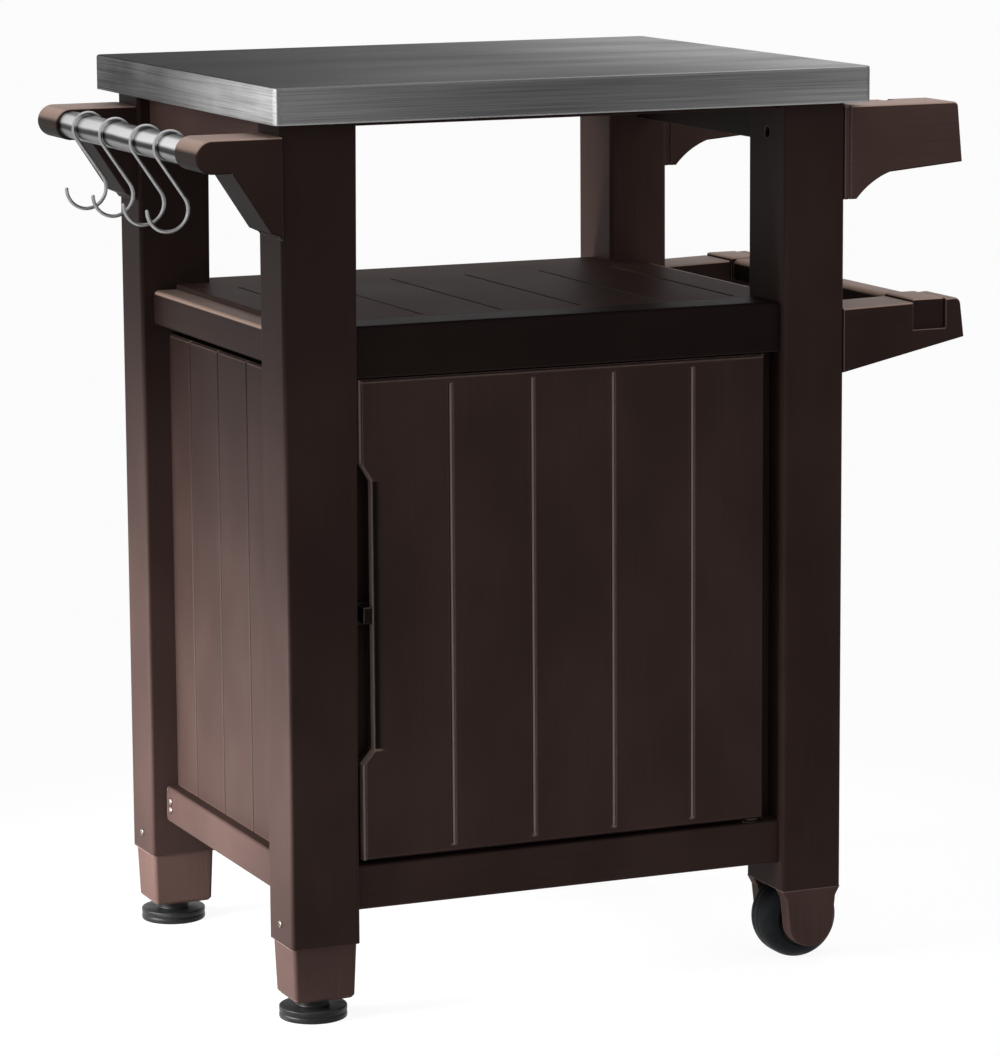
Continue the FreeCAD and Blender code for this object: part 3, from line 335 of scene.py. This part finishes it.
def brushed_steel():
    """Worktop steel: brush lines along each face, smears and painted highlights on the folds.

    Its colour carries a painted reflection: its top grows lighter to the right, its ends grow
    lighter to the front, and its front is darkest in the middle. A rise is a
    gain in lightness between two places.
    """
    # Painted reflection: lightness on the top, ends and front, and its rises, falls and bend
    top_least, slant_rise, right_rise = 0.060, 0.165, 0.33
    end_most, end_fall = 0.74, 0.54
    front_least, front_bend, front_rise = 0.082, 0.62, 0.045
    material, shader, here = start_material("brushed_steel_painted_reflection")
    faces = facing(here)
    side = faces.part("X")
    side = side.sum("ABSOLUTE", side, 0.0).between(0.6, 0.8)
    upward = faces.part("Z").between(0.6, 0.8)
    along = here.noise((0.16, 0.0009, 0.0009), 4.0)
    across = here.noise((0.0009, 0.16, 0.0009), 4.0)
    lines = along * (1.0 - side) + across * side
    smear = here.noise((0.35, 0.09, 0.05), 3.0)
    fold_highlight = edge_mask(here, 0.0030)[0]
    x = here.part("X")
    y = here.part("Y")
    # Painted reflection: lighter to the right on top, to the front on the ends, darkest mid-front
    slant = x - y * 0.35
    top_light = top_least + slant.between(-0.42, 0.18) * slant_rise
    top_light = top_light + x.between(-0.02, 0.34) * right_rise
    end_light = end_most - y.between(-0.27, 0.17) * end_fall
    off_middle = x + 0.02
    front_light = front_least + off_middle * off_middle * front_bend
    front_light = front_light + x.between(0.0, 0.3) * front_rise
    reflection_tone = front_light * (1.0 - side) + end_light * side
    reflection_tone = reflection_tone * (1.0 - upward) + top_light * upward
    tone = reflection_tone * (0.62 + (lines * 0.6 + smear * 0.4).between(0.30, 0.72) * 0.76)
    # Painted highlight on the folds
    colour = (fold_highlight * 0.7).blend(tone, grey(0.66))
    rough = 0.32 + lines * 0.16 + smear * 0.06
    dress(shader, colour, rough, lines, depth=0.00005, edge_width=0.0022, metal=1.0)
    shader.inputs["Specular Tint"].default_value = grey(0.25)
    return material


def bright_steel(name, light, rough_base, warmth=0.0):
    """Turned or drawn steel: fine draw marks and small dull spots.

    The warmth is the share taken off green, and a little more is off blue.
    """
    material, shader, here = start_material(name)
    marks = here.noise((0.0012, 0.0012, 0.0012), 3.0)
    spots = here.noise((0.011, 0.011, 0.011), 4.0)
    tone = (marks * 0.5 + spots * 0.5).between(0.35, 0.65)
    full = (light, light * (1.0 - warmth), light * (1.0 - warmth * 1.3), 1.0)
    colour = tone.blend([value * 0.72 for value in full[:3]] + [1.0], full)
    rough = rough_base + spots * 0.14
    dress(shader, colour, rough, marks, depth=0.00002, edge_width=0.0006, metal=1.0)
    return material


def banded_steel(axis_z):
    """Polished tube steel with a painted reflection in lengthwise bands, light on top and dark
    half-way down.
    """
    material, shader, here = start_material("drawn_tube_steel_painted_reflection")
    waver = here.noise((0.03, 0.09, 0.03), 3.0)
    # Painted reflection: lightness by height round the tube, light on top and dark half-way down
    level = (here.part("Z") - axis_z) * (0.5 / rail_radius) + 0.5
    bands = level.node("ShaderNodeValToRGB", {"stops": [
        (0.0, grey(0.03)), (0.16, grey(0.30)), (0.34, grey(0.45)), (0.44, grey(0.02)),
        (0.56, grey(0.08)), (0.66, grey(1.0)), (0.88, grey(1.0)), (0.97, grey(0.12)),
    ]}, {"Fac": level + waver * 0.10 - 0.05})
    marks = here.noise((0.0010, 0.06, 0.0010), 3.0)
    colour = (marks * 0.12).blend(bands, grey(0.42))
    rough = 0.16 + waver * 0.14
    dress(shader, colour, rough, marks, depth=0.00002, edge_width=0.0006, metal=1.0)
    shader.inputs["Specular Tint"].default_value = grey(0.5)
    return material


def black_plastic():
    """Black moulded plastic with a faint eggshell skin."""
    material, shader, here = start_material("black_moulding")
    skin = here.noise((0.0009, 0.0009, 0.0009))
    scuffs = here.noise((0.019, 0.019, 0.006), 4.0).between(0.52, 0.75)
    colour = scuffs.blend(grey(0.0105), grey(0.030))
    rough = 0.36 + scuffs * 0.22
    dress(shader, colour, rough, skin, depth=0.00010, edge_width=0.0008, specular=0.16)
    return material


def tyre_rubber():
    """Rubber with dust in the tread and a dull sidewall."""
    material, shader, here = start_material("tyre_rubber")
    grit = here.noise((0.0006, 0.0006, 0.0006))
    dust = here.noise((0.013, 0.022, 0.013), 4.0).between(0.45, 0.8)
    colour = dust.blend((0.0050, 0.0060, 0.0075, 1.0), (0.015, 0.016, 0.017, 1.0))
    rough = 0.52 + dust * 0.25
    dress(shader, colour, rough, grit, depth=0.00012, edge_width=0.0008, specular=0.10)
    return material


def core_board():
    """Plain grey filler board below the steel, with small pores."""
    material, shader, here = start_material("core_board_face")
    pores = here.noise((0.0014, 0.0014, 0.0014), 4.0)
    tone = here.noise((0.06, 0.06, 0.06), 3.0)
    colour = (pores * 0.5 + tone * 0.5).between(0.3, 0.7).blend(
        (0.115, 0.100, 0.085, 1.0), (0.205, 0.185, 0.160, 1.0)
    )
    rough = 0.7 + tone * 0.15
    dress(shader, colour, rough, pores, depth=0.00018, edge_width=0.0008, specular=0.3)
    return material


# Surfaces


def closed_skin(rings):
    """Points and faces of a closed surface through rings of points.

    Point j of ring i joins its neighbour on the ring and the same two on the
    next ring. Each end is a fan to the mean point of its ring. Where the
    volume comes out negative the faces are turned, so they look outwards.
    """
    count, around = rings.shape[:2]
    index = np.arange(count * around).reshape(count, around)
    ahead = np.roll(index, -1, axis=1)
    quads = np.stack([index[:-1], ahead[:-1], ahead[1:], index[1:]], axis=-1).reshape(-1, 4)
    first = np.full(around, count * around)
    fans = np.concatenate([
        np.stack([ahead[0], index[0], first], axis=-1),
        np.stack([index[-1], ahead[-1], first + 1], axis=-1),
    ])
    points = np.concatenate([rings.reshape(-1, 3), [rings[0].mean(axis=0), rings[-1].mean(axis=0)]])
    corners = np.concatenate([quads[:, [0, 1, 2]], quads[:, [0, 2, 3]], fans])
    a, b, c = (points[corners[:, k]] - points.mean(axis=0) for k in range(3))
    if np.einsum("ij,ij->i", a, np.cross(b, c)).sum() < 0.0:
        quads, fans = quads[:, ::-1], fans[:, ::-1]
    return points, quads.tolist() + fans.tolist()


def new_piece(name, skins, material, body, slot, *nodes):
    """One smooth object from closed skins, riding a body in place of nodes."""
    points = np.concatenate([skin[0] for skin in skins])
    offset = 0
    faces = []
    for part_points, part_faces in skins:
        faces += [[corner + offset for corner in face] for face in part_faces]
        offset += len(part_points)
    mesh = bpy.data.meshes.new(name)
    mesh.from_pydata(points.tolist(), [], faces)
    mesh.polygons.foreach_set("use_smooth", np.ones(len(faces), dtype=bool))
    mesh.materials.append(material)
    mesh.update()
    piece = bpy.data.objects.new(name, mesh)
    bpy.context.scene.collection.objects.link(piece)
    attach(piece, body)
    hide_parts(*nodes)
    return piece


def circle(count):
    """Cosines and sines of equal steps round a circle."""
    angle = np.linspace(0.0, 2.0 * np.pi, count, endpoint=False)
    return np.cos(angle), np.sin(angle)


def turned(profile, centre, axis, count=96):
    """Rings of a lathe shape.

    The profile gives pairs of radius and height. A ring point is the centre,
    plus the radius times a circle across the axis, plus the height along it.
    """
    axis = np.array(axis, dtype=float)
    across = np.roll(axis, 1)
    other = np.cross(axis, across)
    c, s = circle(count)
    radius = np.array([pair[0] for pair in profile])[:, None, None]
    height = np.array([pair[1] for pair in profile])[:, None, None]
    ring = c[:, None] * across + s[:, None] * other
    return np.array(centre) + radius * ring[None] + height * axis


def rounded(corners, radius, steps=6):
    """Lathe profile with its inner corners rounded.

    Each corner is replaced by a quadratic curve between the points that lie
    the radius before and after it: (1-t)^2 a + 2t(1-t) corner + t^2 b.
    """
    corners = np.array(corners, dtype=float)
    t = np.linspace(0.0, 1.0, steps)[:, None]
    path = [corners[:1]]
    for before, corner, after in zip(corners, corners[1:], corners[2:]):
        back, forth = before - corner, after - corner
        reach_back = min(radius, 0.45 * np.linalg.norm(back))
        reach_forth = min(radius, 0.45 * np.linalg.norm(forth))
        a = corner + back / np.linalg.norm(back) * reach_back
        b = corner + forth / np.linalg.norm(forth) * reach_forth
        path.append((1 - t) ** 2 * a + 2 * t * (1 - t) * corner + t ** 2 * b)
    path.append(corners[-1:])
    return np.concatenate(path)


def arc_points(centre, radius, start, end, step=3.0):
    """Points of an arc in the XZ plane, one each few degrees."""
    count = int(abs(end - start) / step) + 2
    angle = np.radians(np.linspace(start, end, count))
    flat = np.zeros(count)
    return centre + radius * np.stack([np.cos(angle), flat, np.sin(angle)], axis=-1)


def hook_skin(axis_x, place_y, axis_z):
    """S-hook: a round wire along an arc, a straight stem and a lower arc.

    The line leaves the upper circle and reaches the lower one on their inner
    tangent. The wire's radius follows a half circle over its last length at
    each end, so that the tips are domed.
    """
    ring = rail_radius + hook_play + wire_radius
    top = np.array([axis_x, place_y, axis_z])
    low = top + (-hook_side, 0.0, -hook_drop)
    span = math.hypot(hook_side, hook_drop)
    crossing = math.degrees(math.acos((ring + hook_loop) / span))
    leave = math.degrees(math.atan2(-hook_drop, -hook_side)) - crossing + 360.0
    upper = arc_points(top, ring, hook_end, leave)
    lower = arc_points(low, hook_loop, leave - 180.0, hook_tip - 360.0)
    stem = upper[-1] + np.linspace(0.0, 1.0, 14)[1:-1, None] * (lower[0] - upper[-1])
    line = np.concatenate([upper, stem, lower])
    along = np.concatenate([[0.0], np.cumsum(np.linalg.norm(np.diff(line, axis=0), axis=1))])
    tip = wire_radius * (1.0 - np.cos(np.linspace(0.02, 0.5 * np.pi, 7)))
    spots = np.concatenate([tip, along[(along > tip[-1]) & (along < along[-1] - tip[-1])],
                            along[-1] - tip[::-1]])
    path = np.stack([np.interp(spots, along, line[:, k]) for k in range(3)], axis=-1)
    ahead = np.gradient(path, axis=0)
    ahead /= np.linalg.norm(ahead, axis=1, keepdims=True)
    beside = np.stack([-ahead[:, 2], 0.0 * spots, ahead[:, 0]], axis=-1)
    from_end = np.clip(np.minimum(spots, along[-1] - spots) / wire_radius, 0.0, 1.0)
    wide = wire_radius * np.sqrt(1.0 - (1.0 - from_end) ** 2)
    c, s = circle(20)
    rings = path[:, None] + wide[:, None, None] * (
        c[None, :, None] * beside[:, None] + s[None, :, None] * np.array([0.0, 1.0, 0.0])
    )
    return closed_skin(rings)


def screw_skin(seat, outward):
    """Pan-head screw with a crossed recess.

    The head's height over its seat is its rim and a flat dome, 1 - (r/R)^4,
    less the recess: a soft step in the distance from two crossed bars. Below
    the seat the rings run in to the shank and along it to a chamfered end.
    """
    chamfer = 0.0006
    tuck = -0.00001
    outward = np.array(outward, dtype=float)
    across = np.roll(outward, 1)
    other = np.cross(outward, across)
    c, s = circle(48)
    share = np.linspace(0.03, 1.0, 26)[:, None]
    u, v = share * c, share * s
    bars = np.minimum(
        np.maximum(abs(u) / recess_reach, abs(v) / recess_half_width),
        np.maximum(abs(v) / recess_reach, abs(u) / recess_half_width),
    )
    recess = recess_depth / (1.0 + np.exp((bars - 1.0) * recess_sharpness))
    height = head_height * (rim_height + (1.0 - rim_height) * (1.0 - share ** 4) - recess)
    face = head_radius * (u[..., None] * across + v[..., None] * other)
    face = face + height[..., None] * outward
    below = np.array([(1.0, 0.0), (0.95, tuck), (0.5, tuck)]) * (head_radius, 1.0)
    shank = np.array([
        (shank_radius, -0.0001),
        (shank_radius, -shank_length + chamfer),
        (shank_radius - chamfer, -shank_length),
    ])
    rest = np.concatenate([below, shank])
    ring = c[:, None] * across + s[:, None] * other
    tail = rest[:, 0, None, None] * ring[None] + rest[:, 1, None, None] * outward
    return closed_skin(np.array(seat) + np.concatenate([face, tail]))


def middle_of(name):
    """Centre of a node's box."""
    low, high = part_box(name)
    return (low + high) / 2.0


def side_screws(side, foot, outward, bracket_levels):
    """Skins of the screws at one side: rail ends, feet and brackets.

    Screws of the brackets are driven from inside the posts.
    """
    rail_low, rail_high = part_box("bottom_rail_" + side)
    post_low, post_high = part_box("post_front_" + side)
    rail_x = rail_high.x if outward > 0 else rail_low.x
    post_x = post_high.x if outward > 0 else post_low.x
    rail_z = middle_of("bottom_rail_" + side).z
    half = rail_screw_spacing / 2.0
    arm_y = cad_low.y + arm_screw_inset
    skins = []
    for y in (rail_low.y + rail_screw_margin, rail_high.y - rail_screw_margin):
        for z in (rail_z - half, rail_z + half):
            skins.append(screw_skin((rail_x, y, z), (outward, 0, 0)))
    for end in ("front", "rear"):
        y = middle_of(foot + "_" + end).y
        skins.append(screw_skin((post_x, y, post_low.z + foot_screw_rise), (outward, 0, 0)))
    for level in bracket_levels:
        for y in (arm_y, -arm_y):
            inside = post_x - outward * post_wall
            skins.append(screw_skin((inside, y, level), (-outward, 0, 0)))
    return skins


def all_screws(material):
    """Every screw, at the ends of the rails, in the feet and in the brackets."""
    upper = middle_of("towel_rail").z - towel_screw_drop
    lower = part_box("bag_arm_front")[0].z + bag_screw_rise
    skins = side_screws("left", "foot_block", -1, [upper])
    skins += side_screws("right", "wheel_fork", 1, [upper, lower])
    return new_piece("screw_set", skins, material, "frame", "zinc_steel", "screws")


def levelling_disc(end, material):
    """Round foot disc: a lathe profile with soft rims and a grip groove."""
    node = "foot_disc_" + end
    low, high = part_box(node)
    middle = middle_of(node)
    radius = (high.x - low.x) / 2.0
    pole = 0.0002
    waist = disc_rim / 2.0
    profile = rounded([
        (pole, 0.0), (radius, 0.0), (radius, waist - disc_groove), (radius - disc_groove, waist),
        (radius, waist + disc_groove), (radius, disc_rim), (disc_neck, disc_rim),
        (disc_neck, high.z), (pole, high.z),
    ], disc_rounding)
    skin = closed_skin(turned(profile, (middle.x, middle.y, 0.0), (0, 0, 1)))
    name = "levelling_disc_" + end
    return new_piece(name, [skin], material, "foot_" + end, "black_plastic", node)


def soft_tyre(end, material):
    """Tyre ring: a closed lathe profile with large round shoulders.

    From the bore the profile follows a circular arc to the tread, crosses it
    with two shallow lines and runs back over the other arc.
    """
    node = "wheel_tyre_" + end
    low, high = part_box(node)
    outer = (high.z - low.z) / 2.0
    first = math.acos((tyre_bore - outer + tyre_shoulder) / tyre_shoulder)
    angle = np.linspace(first, 0.0, 22)
    radius = outer - tyre_shoulder + tyre_shoulder * np.cos(angle)
    offset = -half_tread - tyre_shoulder * np.sin(angle)
    near = np.stack([radius, offset], axis=-1)
    tread = np.array([
        (outer - cut, place + shift)
        for place in (-tread_line, tread_line)
        for cut, shift in ((0.0, -tread_cut), (tread_cut, 0.0), (0.0, tread_cut))
    ])
    far = (near * (1.0, -1.0))[::-1]
    profile = np.concatenate([near, tread, far])
    rings = turned(profile, middle_of(node), (0, 1, 0), 128)
    count, around = rings.shape[0], rings.shape[1]
    index = np.arange(count * around).reshape(count, around)
    quads = np.stack([
        index, np.roll(index, -1, axis=1), np.roll(np.roll(index, -1, axis=0), -1, axis=1),
        np.roll(index, -1, axis=0),
    ], axis=-1).reshape(-1, 4)
    skin = (rings.reshape(-1, 3), quads.tolist())
    return new_piece("tread_ring_" + end, [skin], material, "wheel_" + end, "tyre", node)


def smooth_rail(material):
    """Drawn tube between the sockets: a closed lathe profile about Y."""
    low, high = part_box("towel_rail")
    half = (high.y - low.y) / 2.0
    pole = 0.0004
    rim = 0.001
    corners = [(pole, -half), (rail_radius, -half), (rail_radius, half), (pole, half)]
    skin = closed_skin(turned(rounded(corners, rim), middle_of("towel_rail"), (0, 1, 0), 128))
    return new_piece("drawn_rail", [skin], material, "frame", "polished_steel", "towel_rail")


def smooth_hooks(material):
    """The four S-hooks on the rail."""
    rail = middle_of("towel_rail")
    for number in range(1, 5):
        node = "hook_" + str(number)
        skin = hook_skin(rail.x, middle_of(node).y, rail.z)
        new_piece("s_hook_" + str(number), [skin], material, node, "polished_steel", node)


# Putting it together

grain_upright = (0.0011, 0.0011, 0.09)
grain_crosswise = (0.09, 0.0011, 0.0011)
grain_deepwise = (0.0011, 0.09, 0.0011)
upright = resin("resin_upright", grain_upright)
crosswise = resin("resin_crosswise", grain_crosswise)
deepwise = resin("resin_deepwise", grain_deepwise)
# Lit and shaded copies of one resin: a light below 1 is painted shade, a light above 1 is painted
# light.
shaded_apron = resin("resin_apron_painted_shade", grain_crosswise, light=0.32)
shaded_post = resin("resin_post_painted_shade", grain_upright, light=0.88)
lit_foot = resin("resin_foot_painted_light", grain_upright, light=1.8)
lit_fork = resin("resin_fork_painted_light", grain_upright, light=2.0)
lit_rear_post = resin("resin_rear_post_painted_light", grain_upright, light=2.6)
# Top lighting paints light on faces that look up, highlights on their slopes and shade on
# undersides
lit_side_rail = resin("resin_side_rail_painted_light_and_shade", grain_deepwise, light=3.6, top_lighting=0.5)
top_lit_cross = resin("resin_bracket_painted_light_and_shade", grain_crosswise, top_lighting=0.70)
lit_roll_bracket = resin("resin_roll_bracket_painted_light_and_shade", grain_crosswise, light=2.7, top_lighting=0.85)
top_lit_deck_rail = resin("resin_deck_rail_painted_light_and_shade", grain_deepwise, light=0.8, top_lighting=0.80)
lit_and_shaded_bar = resin("resin_bar_painted_light_and_shade", grain_deepwise, light=0.7, top_lighting=0.80)
# The last item of each inset is the colour painted in its seams
door_inset = ("Y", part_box("door_panel")[0].y, 1.0, groove_shade)
left_inset = ("X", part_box("side_panel_left")[0].x, 1.0, groove_shade)
right_inset = ("X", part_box("side_panel_right")[1].x, -1.0, groove_shade)
back_inset = ("Y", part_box("back_panel")[1].y, -1.0, groove_shade)
# The shelf's seams get a painted highlight
shelf_inset = ("Z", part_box("deck_board")[1].z, -1.0, shelf_groove_highlight)
# The door and shelf carry painted light and the left wall painted shade, with a strong painted
# highlight on the door's edges.
door = resin("resin_door_painted_light", grain_upright, light=1.2, inset=door_inset, edge=0.0030, edge_highlight_strength=0.95)
left_wall = resin("resin_left_wall_painted_shade", grain_upright, light=0.7, inset=left_inset, edge=0.0032)
right_wall = resin("resin_right_wall", grain_upright, inset=right_inset)
back_wall = resin("resin_back_wall", grain_upright, inset=back_inset)
shelf = resin("resin_shelf_painted_light", grain_deepwise, light=2.2, inset=shelf_inset, specular=0.01)
steel_sheet = brushed_steel()
polished = bright_steel("polished_steel_wire", light=0.44, rough_base=0.32)
plated_heads = bright_steel("plated_screw_heads", light=0.17, rough_base=0.38, warmth=0.22)
tube = banded_steel(middle_of("towel_rail").z)
zinc = bright_steel("zinc_plated", light=0.55, rough_base=0.28)
moulding = black_plastic()
rubber = tyre_rubber()
board = core_board()

finish_of = {
    "worktop_skin": steel_sheet,
    "worktop_core": board,
    "wheel_axles": zinc,
    "door_pins": shaded_apron,
    "foot_stud_front": zinc,
    "foot_stud_rear": zinc,
    "wheel_hub_front": moulding,
    "wheel_hub_rear": moulding,
    "door_catch": shaded_apron,
    "catch_keeper": moulding,
    "deck_rail_front": shaded_apron,
    "post_rear_right": lit_rear_post,
    "post_front_right": upright,
    "top_rail_left": lit_side_rail,
    "roll_arm_front": lit_roll_bracket,
    "roll_arm_rear": lit_roll_bracket,
    "bag_bar": lit_and_shaded_bar,
    "deck_rail_left": top_lit_deck_rail,
    "deck_rail_right": top_lit_deck_rail,
    "wheel_fork_front": lit_fork,
    "wheel_fork_rear": lit_fork,
    "foot_block_front": lit_foot,
    "foot_block_rear": lit_foot,
    "door_panel": door,
    "side_panel_left": left_wall,
    "side_panel_right": right_wall,
    "back_panel": back_wall,
    "deck_board": shelf,
}

# For the other nodes, by how their names start; the first that fits counts
finish_by_start = {
    ("bottom_rail_left", "bottom_rail_right", "top_rail_right"): deepwise,
    ("roll_bar", "shelf_battens"): deepwise,
    ("deck_rail", "bottom_rail", "top_rail", "floor_panel", "inner_shelf"): crosswise,
    ("towel_arm", "bag_arm"): top_lit_cross,
    ("post_",): shaded_post,
    ("",): upright,
}


def finish_for(name):
    """A node's own finish, or the one that goes with how its name starts."""
    if name in finish_of:
        return finish_of[name]
    return next(finish for starts, finish in finish_by_start.items() if name.startswith(starts))


for name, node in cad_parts.items():
    finish = finish_for(name)
    if not node.data.materials:
        node.data.materials.append(finish)
    for slot in node.material_slots:
        slot.material = finish

all_screws(plated_heads)
smooth_rail(tube)
smooth_hooks(polished)
for end in ("front", "rear"):
    levelling_disc(end, moulding)
    soft_tyre(end, rubber)


# Floor, light and camera


def white_where_seen(flow, plain, white):
    """Picks the white shader for camera, glossy and transmission rays."""
    rays = flow.tree.nodes.new("ShaderNodeLightPath")
    seen = Flow(flow.tree, rays.outputs["Is Camera Ray"])
    for name in ("Is Glossy Ray", "Is Transmission Ray"):
        seen = seen.sum("MAXIMUM", seen, Flow(flow.tree, rays.outputs[name]))
    return flow.node("ShaderNodeMixShader", {}, {0: seen, 1: plain, 2: white})


def floor():
    """Wide pale floor: white where it is seen, with the cart's soft shadow."""
    signs = ((-1, -1), (1, -1), (1, 1), (-1, 1))
    corners = [(a * floor_reach, b * floor_reach, 0.0) for a, b in signs]
    mesh = bpy.data.meshes.new("floor")
    mesh.from_pydata(corners, [], [(0, 1, 2, 3)])
    stage = bpy.data.objects.new("floor", mesh)
    bpy.context.scene.collection.objects.link(stage)
    material, shader, here = start_material("pale_floor")
    tree = material.node_tree
    tree.nodes.remove(shader)
    distance = here.node("ShaderNodeVectorMath", {"operation": "LENGTH"}, {0: here}, 1)
    share = (1.0 - distance.between(floor_near, floor_far)) * floor_share
    paint = here.node("ShaderNodeBsdfDiffuse", {}, {"Color": grey(0.8)})
    level = share.sum("DIVIDE", white_level - share * floor_lit, 1.0 - share)
    glow = here.node("ShaderNodeEmission", {}, {"Color": level, "Strength": 1.0})
    shade = here.node("ShaderNodeMixShader", {}, {0: share, 1: glow, 2: paint})
    out = tree.nodes["Material Output"]
    tree.links.new(white_where_seen(here, paint, shade).socket, out.inputs["Surface"])
    mesh.materials.append(material)


def surroundings():
    """World: soft grey light, and plain white where it is seen."""
    world = bpy.data.worlds.new("studio")
    world.use_nodes = True
    tree = world.node_tree
    soft = tree.nodes["Background"]
    soft.inputs["Color"].default_value = grey(1.0)
    soft.inputs["Strength"].default_value = world_level
    flow = Flow(tree, soft.outputs[0])
    white = flow.node("ShaderNodeBackground", {}, {"Color": grey(white_level), "Strength": 1.0})
    out = tree.nodes["World Output"]
    tree.links.new(white_where_seen(flow, flow, white).socket, out.inputs["Surface"])
    bpy.context.scene.world = world


def lamp(name, place, aim, size, power, spread=180.0):
    """Soft rectangular lamp that looks at a point, its cone in degrees."""
    light = bpy.data.lights.new(name, "AREA")
    light.spread = math.radians(spread)
    light.shape = "RECTANGLE"
    light.size, light.size_y = size
    light.energy = power
    carrier = bpy.data.objects.new(name, light)
    carrier.location = place
    carrier.rotation_euler = (Vector(aim) - Vector(place)).to_track_quat("-Z", "Y").to_euler()
    bpy.context.scene.collection.objects.link(carrier)


def camera():
    """Camera that looks along the picture's own direction."""
    turn, pitch, roll = (math.radians(angle) for angle in (camera_turn, camera_pitch, camera_roll))
    ahead = Vector((
        -math.sin(turn) * math.cos(pitch), math.cos(turn) * math.cos(pitch), -math.sin(pitch),
    ))
    right = Vector((math.cos(turn), math.sin(turn), 0.0))
    up = right.cross(ahead)
    rolled_right = math.cos(roll) * right + math.sin(roll) * up
    rolled_up = math.cos(roll) * up - math.sin(roll) * right
    lens = bpy.data.cameras.new("camera")
    lens.lens = camera_lens
    lens.sensor_width = 36.0
    lens.clip_end = 200.0
    carrier = bpy.data.objects.new("camera", lens)
    carrier.matrix_world = Matrix.Translation(camera_place) @ Matrix(
        (rolled_right, rolled_up, -ahead)
    ).transposed().to_4x4()
    bpy.context.scene.collection.objects.link(carrier)
    bpy.context.scene.camera = carrier


floor()
surroundings()

# Name, place, aim, size, watts and cone
lamp("left_low", (-0.95, 0.05, 0.24), (-0.3, 0.05, 0.20), (0.75, 0.16), 7.5, 80.0)
lamp("left_high", (-2.2, -0.5, 1.5), (-0.3, -0.1, 0.8), (1.0, 0.8), 4.0)
lamp("front_fill", (1.2, -4.2, 2.2), (0.0, 0.0, 0.45), (2.4, 2.0), 11.0)
lamp("ceiling", (0.2, 0.4, 3.4), (0.0, 0.0, 0.5), (3.0, 3.0), 22.0)
camera()

bpy.context.scene.view_settings.view_transform = "Standard"
